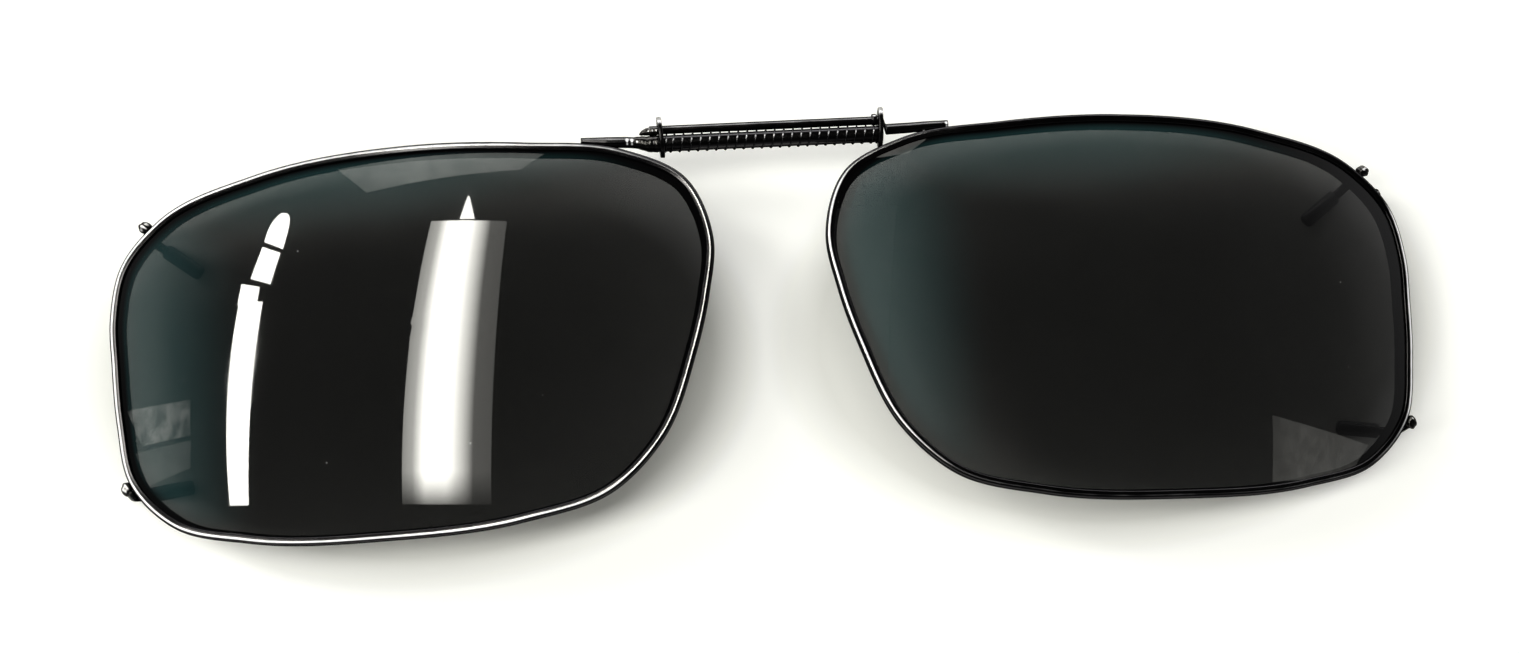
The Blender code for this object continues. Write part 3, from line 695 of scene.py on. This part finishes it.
def coiled_spring():
    steps = np.linspace(0, 1, SPRING_TURNS * POINTS_PER_TURN + 1)
    turns = steps * SPRING_TURNS
    from_end = np.minimum(turns, SPRING_TURNS - turns)
    closing = np.clip(from_end / 1.2, 0, 1)
    pitch = 0.3 + 0.7 * closing**2 * (3 - 2 * closing)
    passed = np.concatenate([[0], ((pitch[1:] + pitch[:-1]) / 2).cumsum()])
    inset = SPRING_WIRE / 2 + SPRING_END_PLAY
    low, high = SPRING_ENDS[0] + inset, SPRING_ENDS[1] - inset
    x = low + (high - low) * passed / passed[-1]
    angle = turns * math.tau
    radial = np.column_stack([np.zeros_like(x), -np.cos(angle), np.sin(angle)])
    centres = BRIDGE + (0, LOWER_LEVEL, 0) + np.column_stack([x, 0 * x, 0 * x])
    path = centres + radial * SPRING_RADIUS
    mesh = wire("bridge_spring", path, SPRING_WIRE / 2, radial, WIRE_SIDES)
    outside = np.clip(np.cos(np.arange(WIRE_SIDES) * math.tau / WIRE_SIDES), 0, 1) ** 2
    # A painted highlight: a small pale dot on each turn's crown, where it faces up.
    crown = np.clip(radial @ CROWN_HIGHLIGHT_WAY, 0, 1) ** 110
    mark(mesh, "polish", [*np.outer(crown, outside).ravel(), 0, 0])
    return mesh


spring = stand_in(coiled_spring(), "bridge_spring", spring_steel)
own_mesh(spring)

# %% [markdown]
# ## Collar, cap and bush
# Outside the left plate a collar stops the lower rod and a cap closes the upper one. Both are
# blobs of braze more than turned parts, so their sections swell and sink a little round the rod.
# The cap slides away over the lower rod, so it stays clear of the rod's core. The bush inside the
# right plate guides the upper rod, and is thin below, where it lies over the spring.

# %% Collar, cap and bush
LUMP_SWELL = 0.035
GLINT_WIDTH = 0.10
COLLAR = ((-10.36, -0.71, 0.79), (-10.44, -0.71, 0.84), (-11.0, -0.70, 0.81), (-11.5, -0.64, 0.76),
          (-12.0, -0.54, 0.66), (-12.4, -0.49, 0.61), (-12.7, -0.48, 0.57), (-12.8, -0.47, 0.44))
CAP = ((-10.36, 0.62, 0.42), (-10.44, 0.62, 0.46), (-11.0, 0.60, 0.44), (-11.45, 0.55, 0.38),
       (-11.8, 0.46, 0.28), (-12.05, 0.34, 0.17), (-12.16, 0.28, 0.05))


def brazed_lump(name, knots, runs, phase, glints):
    """A lump through (x, level, radius) knots, frozen in runs that swell, with glints painted on
    it.
    """
    x, level, radius = np.array(knots).T
    share = np.linspace(0, 1, 61)
    stations = x[0] + share * (x[-1] - x[0])
    path = BRIDGE + np.column_stack([stations, np.interp(-stations, -x, level), 0 * share])

    def lumps(angle, along):
        wave = np.sin(2 * angle + phase) * np.cos(5 * along + phase)
        return 1 + LUMP_SWELL * np.sin(math.pi * along) * (wave + np.cos(math.tau * runs * along))

    mesh = wire(name, path, np.interp(-stations, -x, radius), (0, 0, 1), ROD_SIDES, lumps)
    bright = sum(np.exp(-(((stations - spot) / GLINT_WIDTH) ** 2)) for spot in glints)
    bright = np.append(np.repeat(bright, ROD_SIDES), [0, 0])
    # Painted glints: pale spots at the given places, where the lump faces up.
    mark(mesh, "polish", bright * 1.2 * facing(mesh, (0, -0.10, 0.99), 40))
    return mesh


def bored_ring(name, start, length, radius, level, bore):
    """A ring with a true hole for its rod, thick on top and thin where it lies over the spring."""
    share = np.linspace(0, 1, 13)
    painted_glint_mark = radius * (1 - 0.12 * np.abs(2 * share - 1) ** 4)
    spokes = spokes_round_x(ROD_SIDES)
    thick = 0.1 + 0.45 * (1 + spokes[:, 1])
    walls = [(x, bore + (reach - bore) * thick) for x, reach in zip(share, painted_glint_mark)]
    walls += [(x, bore + 0 * thick) for x in share[::-1]]
    rings = [BRIDGE + (start - x * length, level, 0) + reach[:, None] * spokes
             for x, reach in walls]
    mesh = skin(name, rings, loop=True)
    # A painted highlight on the bush's upper side.
    mark(mesh, "polish", 0.5 * facing(mesh, (0, 0.5, 0.85), 20))
    return mesh


stand_in(brazed_lump("stop_collar", COLLAR, 3, 0.4, (-12.45,)), "stop_collar", braze)
stand_in(brazed_lump("rod_cap", CAP, 3, 2.1, (-11.27, -10.86, -10.47)), "rod_cap", braze)
bush = bored_ring("guide_bush", 11.49, 0.52, 0.68, UPPER_LEVEL, ROD_RADIUS + HOLE_PLAY)
stand_in(bush, "guide_bush", gunmetal)
print("bush points:", len(bush.vertices))

# %% [markdown]
# ## Bridge pads
# Each bar's end lies over the brow of its rim, and braze fills the wedge between them. The pad
# follows the rim's wall below and the rod above, and its two faces are hollow, as a fillet of
# molten metal pulls itself.

# %% Bridge pads
PAD_LENGTH = 2.7
PAD_STATIONS = 19
PAD_WALL = (-0.62, -1.55)
PAD_TOP = (-0.30, 0.36)
PAD_HOLLOW = 0.22
PAD_GLINT = (16.1, 0.22)


def wedge_pad(side, bar_end):
    points, out, up = rim_stations(side)
    brow = points[:, 1] > LENS_CENTRE[1]
    order = np.argsort(np.abs(points[brow, 0]))
    distance = np.abs(points[brow, 0])[order]
    rings = []
    top = BRIDGE[1] + PAD_TOP[0]
    for share in np.linspace(0, 1, PAD_STATIONS):
        x = bar_end - PAD_LENGTH * share
        point, outwards, upwards = (
            np.array([np.interp(x, distance, v[brow][order][:, k]) for k in range(3)])
            for v in (points, out, up)
        )
        ends = 1 - 0.35 * abs(2 * share - 1) ** 6
        front, back = (point - 0.04 * outwards + depth * ends * upwards for depth in PAD_WALL)
        front_top = np.array((front[0], top, BRIDGE[2] + PAD_TOP[1]))
        back_top = np.array((back[0], top, BRIDGE[2] - PAD_TOP[1]))
        steps = np.linspace(0, 1, 7)[:, None]
        hollow = np.sin(math.pi * steps) * (0, 0, PAD_HOLLOW)
        rings.append(np.vstack([front + (front_top - front) * steps - hollow,
                                back_top + (back - back_top) * steps + hollow]))
    mesh = skin(f"bridge_pad_{side}", rings)
    x = np.array([v.co.x for v in mesh.vertices]) / MM
    # A painted glint on the right pad's top.
    bright = np.exp(-(((x - PAD_GLINT[0]) / PAD_GLINT[1]) ** 2))
    mark(mesh, "polish", bright * facing(mesh, (0, -0.1, 0.99), 3))
    return mesh


for side, bar_end in (("left", 17.95), ("right", 18.55)):
    pad = stand_in(wedge_pad(side, bar_end), f"bridge_pad_{side}", braze)
    print(pad.name, "size in mm:", [round(v / MM, 2) for v in pad.dimensions])

# %% [markdown]
# ## Hooks and sleeves
# A hook is one bent wire: a shank straight back from the rim, a quarter turn, and a finger that
# reaches in behind the lens. Its sleeve is a tube closed at the tip, a little loose, with a soft
# rounded mouth.

# %% Hooks and sleeves
HOOK_RADIUS = 0.45
FINGER_HEIGHT = 0.75
HOOK_BEND = 1.2
HOOK_REACH = 5.6
SLEEVE_SECTION = ((1.68, 0.62), (1.70, 0.70), (1.78, 0.75), (5.55, 0.75), (5.78, 0.70),
                  (5.92, 0.55), (5.97, 0.30))
HOOKS = {
    "top": ((61.296, 12.725), 7.0, math.radians(37)),
    "bottom": ((63.790, -13.225), 6.985, math.radians(-8)),
}


def finger_line(side, level):
    """Where the shank stands, how high it starts, and which way its finger points."""
    (x, y), top, dip = HOOKS[level]
    mirror = np.array((SIDES[side], 1, 1))
    return np.array((x, y, 0)) * mirror, top, np.array((-math.cos(dip), -math.sin(dip), 0)) * mirror


def bent_hook(side, level):
    foot, top, finger = finger_line(side, level)
    turn = np.linspace(0, math.pi / 2, 17)
    bend = HOOK_BEND * (1 - np.cos(turn))
    inwards = np.concatenate([[0, 0], bend, [HOOK_REACH - CHAMFER, HOOK_REACH]])
    rise = HOOK_BEND * (1 - np.sin(turn))
    shank = top - FINGER_HEIGHT
    height = FINGER_HEIGHT + np.concatenate([[shank, shank - CHAMFER], rise, [0, 0]])
    path = foot + inwards[:, None] * finger + np.column_stack([0 * height, 0 * height, height])
    radii = np.full(len(path), HOOK_RADIUS)
    radii[[0, -1]] -= CHAMFER
    return wire(f"hook_{side}_{level}", path, radii, np.cross(finger, (0, 0, 1)), 20)


def soft_sleeve(side, level):
    foot, _, finger = finger_line(side, level)
    reach, radii = np.array(SLEEVE_SECTION).T
    path = foot + (0, 0, FINGER_HEIGHT) + reach[:, None] * finger
    return wire(f"sleeve_{side}_{level}", path, radii, (0, 0, 1), 28)


for side in SIDES:
    for level in HOOKS:
        stand_in(bent_hook(side, level), f"hook_{side}_{level}", gunmetal)
        sleeve = stand_in(soft_sleeve(side, level), f"sleeve_{side}_{level}", vinyl)
        lowest = min(v.co.z for v in sleeve.data.vertices) / MM
        print(sleeve.name, "lowest point in mm:", round(lowest, 3))

# %% [markdown]
# ## Brazed beads
# Where a hook meets its rim, and where the right rim's own ends meet, a bead of braze froze as a
# lump. Each bead fills its CAD box, and a few soft waves take away the perfect egg shape. The
# left beads are painted pale broadly where they face up, as a highlight, and the right ones get
# only a small painted glint.

# %% Brazed beads
BEAD_GROWTH = 1.02
BEAD_WAVES = 0.10


def brazed_bead(node, seed):
    low, high = (np.array(corner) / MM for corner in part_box(node))
    bm = bmesh.new()
    bmesh.ops.create_icosphere(bm, subdivisions=5, radius=1.0)
    ball = np.array([v.co for v in bm.verts])
    waves = np.sin(ball @ (3.1, 1.7, 2.3) + seed) * np.cos(ball @ (1.3, 3.7, -2.9) + 2 * seed)
    faces = [tuple(v.index for v in face.verts) for face in bm.faces]
    bm.free()
    ball = ball * (1 + BEAD_WAVES * waves[:, None])
    points = (low + high) / 2 + ball * (high - low) / 2 * BEAD_GROWTH
    mesh = finished_mesh(node, points, faces)
    # Painted highlight: the left beads pale broadly where they face up, the right ones only a small
    # glint.
    if "left" in node:
        mark(mesh, "polish", (0.8 + 0.3 * waves) * facing(mesh, (-0.1, -0.1, 0.99), 5))
    else:
        mark(mesh, "polish", facing(mesh, (0.2, 0.3, 0.93), 30))
    return mesh


beads = sorted(node for node in slot_of if "bead" in node or "joint" in node)
for seed, node in enumerate(beads):
    stand_in(brazed_bead(node, seed), node, braze)
print("beads:", ", ".join(beads))

# %% [markdown]
# ## Table
# The table is plain and pale. It glows a little to the eye, and fully from a metre away, to stay
# white in any view. The glow is left out inside the rims' outlines and fades in just past them,
# which paints shade under and close round the lenses and keeps both lenses dark. The object's
# shadow shows all round it.

# %% Table
TABLE_RADIUS = 3000
bm = bmesh.new()
bmesh.ops.create_circle(bm, cap_ends=True, segments=96, radius=TABLE_RADIUS * MM)
table_mesh = bpy.data.meshes.new("table")
bm.to_mesh(table_mesh)
bm.free()
table = bpy.data.objects.new("table", table_mesh)
bpy.context.collection.objects.link(table)

table_white, shade = new_finish("table_white", Roughness=0.9)
rays = {kind: table_white.node("ShaderNodeLightPath", out=kind)
        for kind in ("Is Camera Ray", "Is Glossy Ray", "Is Transmission Ray")}
seen = rays["Is Camera Ray"] + rays["Is Glossy Ray"] + rays["Is Transmission Ray"]
metres = table_white.node("ShaderNodeVectorMath", {"operation": "LENGTH"},
                          {0: table_white.place()}, out="Value")


def past_rim(side):
    """How far out from a lens's middle a place on the table is: 1 is below the rim."""
    centre = (SIDES[side] * LENS_CENTRE[0] * MM, LENS_CENTRE[1] * MM, 0)
    half = (RIM_SIZE[0] / 2 * MM, RIM_SIZE[1] / 2 * MM, 1)
    offset = table_white.node("ShaderNodeVectorMath", {"operation": "SUBTRACT"},
                              {0: table_white.place(), 1: centre})
    share = table_white.node("ShaderNodeVectorMath", {"operation": "DIVIDE"}, {0: offset, 1: half})
    return table_white.node("ShaderNodeVectorMath", {"operation": "LENGTH"}, {0: share},
                            out="Value")


beyond = table_white.combined("MINIMUM", past_rim("left"), past_rim("right"))
# No glow inside the rims' outlines, fading in just past them: painted shade under and round the
# lenses.
clear = table_white.ramp(0.5 * beyond, (0.50, 0.0), (0.60, 1.0))
glow = clear * table_white.ramp(metres, (0.10, 0.32), (0.45, 0.60), (1.0, 1.0))
shade(
    Base_Color=(0.80, 0.80, 0.73, 1),
    Emission_Color=table_white.blended(seen * glow, (0, 0, 0, 1), (1, 1, 0.985, 1)),
    Emission_Strength=1.0,
)
table_mesh.materials.append(table_white.owner)
print("table radius in mm:", TABLE_RADIUS)

# %% [markdown]
# ## Lamp sheets
# A dark glossy lens shows its lamps, so their shapes matter more than their number. Each is a
# glowing sheet that only mirrors see, and it hangs level, a little higher than the camera. Its
# edges bend smoothly through rows of points, two ramps shade it across and along, and soft folds
# can darken it as cloth does.

# %% Lamp sheets
LAMP_SHIFT = (0, 3.2858, 415.8)
LAMP_STATIONS = 17
FOLD_SIZE = 26.0


def lamp_sheet(name, rows, strength, across=((0, 1),), along=((0, 1),), folds=0.0):
    """A glowing sheet through two or three rows of (left x, left y, right x, right y)."""
    rows = np.array(rows)
    stations = np.linspace(0, 1, len(rows))
    length = np.linspace(0, 1, LAMP_STATIONS)
    edges = [np.polyval(np.polyfit(stations, column, len(rows) - 1), length) for column in rows.T]
    left, right = np.column_stack(edges[:2]), np.column_stack(edges[2:])
    points = np.array([(*p, 0) for pair in zip(left, right) for p in pair]) + LAMP_SHIFT
    faces = [(2 * k, 2 * k + 1, 2 * k + 3, 2 * k + 2) for k in range(len(length) - 1)]
    mesh = finished_mesh(name, points, faces)
    mark(mesh, "across", np.tile([0, 1], len(length)))
    mark(mesh, "along", np.repeat(length, 2))
    glow, shade = new_finish(name, Base_Color=(0, 0, 0, 1), Emission_Strength=strength)
    shares = [glow.node("ShaderNodeAttribute", {"attribute_name": way}, out="Fac")
              for way in ("across", "along")]
    level = glow.ramp(shares[0], *across) * glow.ramp(shares[1], *along)
    if folds:
        cloth = glow.grain(FOLD_SIZE, detail=2.0)
        level = level * (1 - folds * glow.ramp(cloth, (0.38, 1.0), (0.62, 0.0)))
    shade(Emission_Color=glow.blended(level, (0, 0, 0, 1), (1, 0.99, 0.92, 1)))
    mesh.materials.append(glow.owner)
    lamp = bpy.data.objects.new(name, mesh)
    bpy.context.collection.objects.link(lamp)
    lamp.visible_camera = False
    lamp.visible_diffuse = False
    lamp.visible_shadow = False
    return lamp


print("lamp sheets hang at z", LAMP_SHIFT[2], "mm")

# %% [markdown]
# ## Thin strip
# Far out to the left hangs a bright thin lamp in four pieces: a round-ended one on top, two short
# ones, and a long one that runs down past the lens. It mirrors as a bent band at the left.

# %% Thin strip
THIN_STRIP = (
    ((-336, 313, -326, 309), (-351, 299, -319, 289), (-357, 272, -323, 250)),
    ((-359, 265, -326, 245), (-372, 220, -336, 202)),
    ((-388, 217, -354, 203), (-391, 187, -356, 178)),
    ((-388, 192, -346, 180), (-401, 60, -359, 54), (-408, -72, -374, -73)),
)
for number, rows in enumerate(THIN_STRIP):
    lamp_sheet(f"thin_strip_{number}", rows, 20.0)
print("thin strip pieces:", len(THIN_STRIP))

# %% [markdown]
# ## Wide strip
# A wider lamp hangs nearer, soft at both sides and fading at its lower end, with a small bright
# spike on top. The halves of the real clip-on are turned a little to each other, so only the left
# lens mirrors it. Here the halves are level, and the right lens is kept out by light linking.

# %% Wide strip
WIDE_STRIP = ((-124, 241, -38, 230), (-149, 73, -57, 64), (-164, -81, -68, -86))
WIDE_SPIKE = ((-82, 272, -80, 272), (-91, 239, -74, 237))
WIDE_ACROSS = ((0, 0.16), (0.12, 0.26), (0.19, 0.55), (0.27, 1.0), (0.50, 1.0), (0.62, 0.55),
               (0.80, 0.05), (1, 0.04))
WIDE_ALONG = ((0, 1), (0.88, 1), (0.97, 0.30), (1, 0.10))
wide = lamp_sheet("wide_strip", WIDE_STRIP, 20.0, WIDE_ACROSS, WIDE_ALONG)
spike = lamp_sheet("wide_strip_spike", WIDE_SPIKE, 16.0)
not_mirrored = bpy.data.collections.new("right_lens_left_out")
not_mirrored.objects.link(bpy.data.objects["lens_right_dressed"])
not_mirrored.collection_objects[0].light_linking.link_state = "EXCLUDE"
for lamp in (wide, spike):
    lamp.light_linking.receiver_collection = not_mirrored
print("wide strip rows:", len(WIDE_STRIP))

# %% [markdown]
# ## Pale cards
# Four dim cards give the lenses their faint patches: a sheen along the left lens's top, folded
# cloth and a low card at its left edge, and a grey corner at the right lens's lower right.

# %% Pale cards
FOLDS = {"sheen_card": 0.3, "cloth_card": 0.8, "low_card": 0.3, "right_card": 0.3}
CARD_ACROSS = ((0, 0.6), (0.3, 1), (1, 0.6))
CARDS = {
    "sheen_card": (((-257, 362, 10, 336), (-209, 305, -20, 309)), 1.5),
    "cloth_card": (((-654, 87, -477, 74), (-606, 25, -478, 26)), 1.5),
    "low_card": (((-629, 16, -478, 19), (-593, -36, -482, -18)), 0.5),
    "right_card": (((420, -27, 699, -71), (422, -113, 626, -114)), 0.6),
}
for name, (rows, strength) in CARDS.items():
    lamp_sheet(name, rows, strength, CARD_ACROSS, folds=FOLDS[name])
print("cards:", ", ".join(CARDS))

# %% [markdown]
# ## Soft lamps and world
# Two long soft lamps far off give the table its plain light and the object its soft shadow, which
# falls to the right and below. The world has three parts. Looked at, it is white. Mirrored, it is
# a dim room with pale walls and one window low behind the top. Otherwise it is a faint ceiling.

# %% Soft lamps and world
SOFT_LAMPS = {
    "near_lamp": ((-420, -100, 1250), (200, 1150), 12.5),
    "far_lamp": ((-900, 400, 1000), (200, 700), 6.5),
}
for name, (place, (wide_mm, long_mm), power) in SOFT_LAMPS.items():
    soft = bpy.data.lights.new(name, "AREA")
    soft.shape = "RECTANGLE"
    soft.size = wide_mm * MM
    soft.size_y = long_mm * MM
    soft.energy = power
    lamp = bpy.data.objects.new(name, soft)
    lamp.location = Vector(place) * MM
    lamp.rotation_euler = Vector(place).to_track_quat("Z", "Y").to_euler()
    lamp.visible_glossy = False
    bpy.context.collection.objects.link(lamp)

room = Finish(bpy.data.worlds.new("room"))
bpy.context.scene.world = room.owner
room.tree.nodes.clear()
way = room.node("ShaderNodeTexCoord", out="Generated")
height = room.node("ShaderNodeSeparateXYZ", None, {"Vector": way}, out="Z")
behind = room.node("ShaderNodeSeparateXYZ", None, {"Vector": way}, out="Y")
walls = room.ramp(height, (0.0, 0.38), (0.25, 0.30), (0.55, 0.05), (0.80, 0.012), (1.0, 0.005))
overhead = room.ramp(height, (0.0, 0.02), (0.40, 0.06), (0.70, 0.35), (1.0, 0.45))
low_band = room.ramp(height, (0.02, 0.0), (0.08, 1.0), (0.22, 1.0), (0.34, 0.0))
window = room.ramp(behind, (0.35, 0.0), (0.75, 1.0)) * low_band
direct = room.node("ShaderNodeLightPath", out="Is Camera Ray")
mirrored = room.node("ShaderNodeLightPath", out="Is Glossy Ray")
level = mirrored * (walls + 7.0 * window) + (1 - mirrored) * overhead
sky = room.node("ShaderNodeBackground", None, {"Color": direct + (1 - direct) * level})
room.node("ShaderNodeOutputWorld", None, {"Surface": sky})
print("soft lamps:", ", ".join(SOFT_LAMPS))

# %% [markdown]
# ## Camera
# The photo was taken by hand from a little under half a metre, almost straight above, so the
# camera leans a few degrees and the near lens looks larger. Its place and lean were fitted to
# both rims' outlines, and a short long-lens view keeps the same perspective.

# %% Camera
CAMERA_PLACE = (-25.766, -59.402, 328.812)
CAMERA_DEGREES = (10.65037, -3.73487, -3.56018)
CAMERA_LENS = 77.957
camera_data = bpy.data.cameras.new("camera")
camera_data.sensor_width = 36.0
camera_data.lens = CAMERA_LENS
camera_data.clip_start = 0.01
camera = bpy.data.objects.new("camera", camera_data)
camera.location = Vector(CAMERA_PLACE) * MM
camera.rotation_euler = Euler([math.radians(v) for v in CAMERA_DEGREES])
bpy.context.collection.objects.link(camera)
bpy.context.scene.camera = camera
bpy.context.scene.view_settings.view_transform = "Standard"
print("camera at", [round(v / MM, 1) for v in camera.location], "mm")
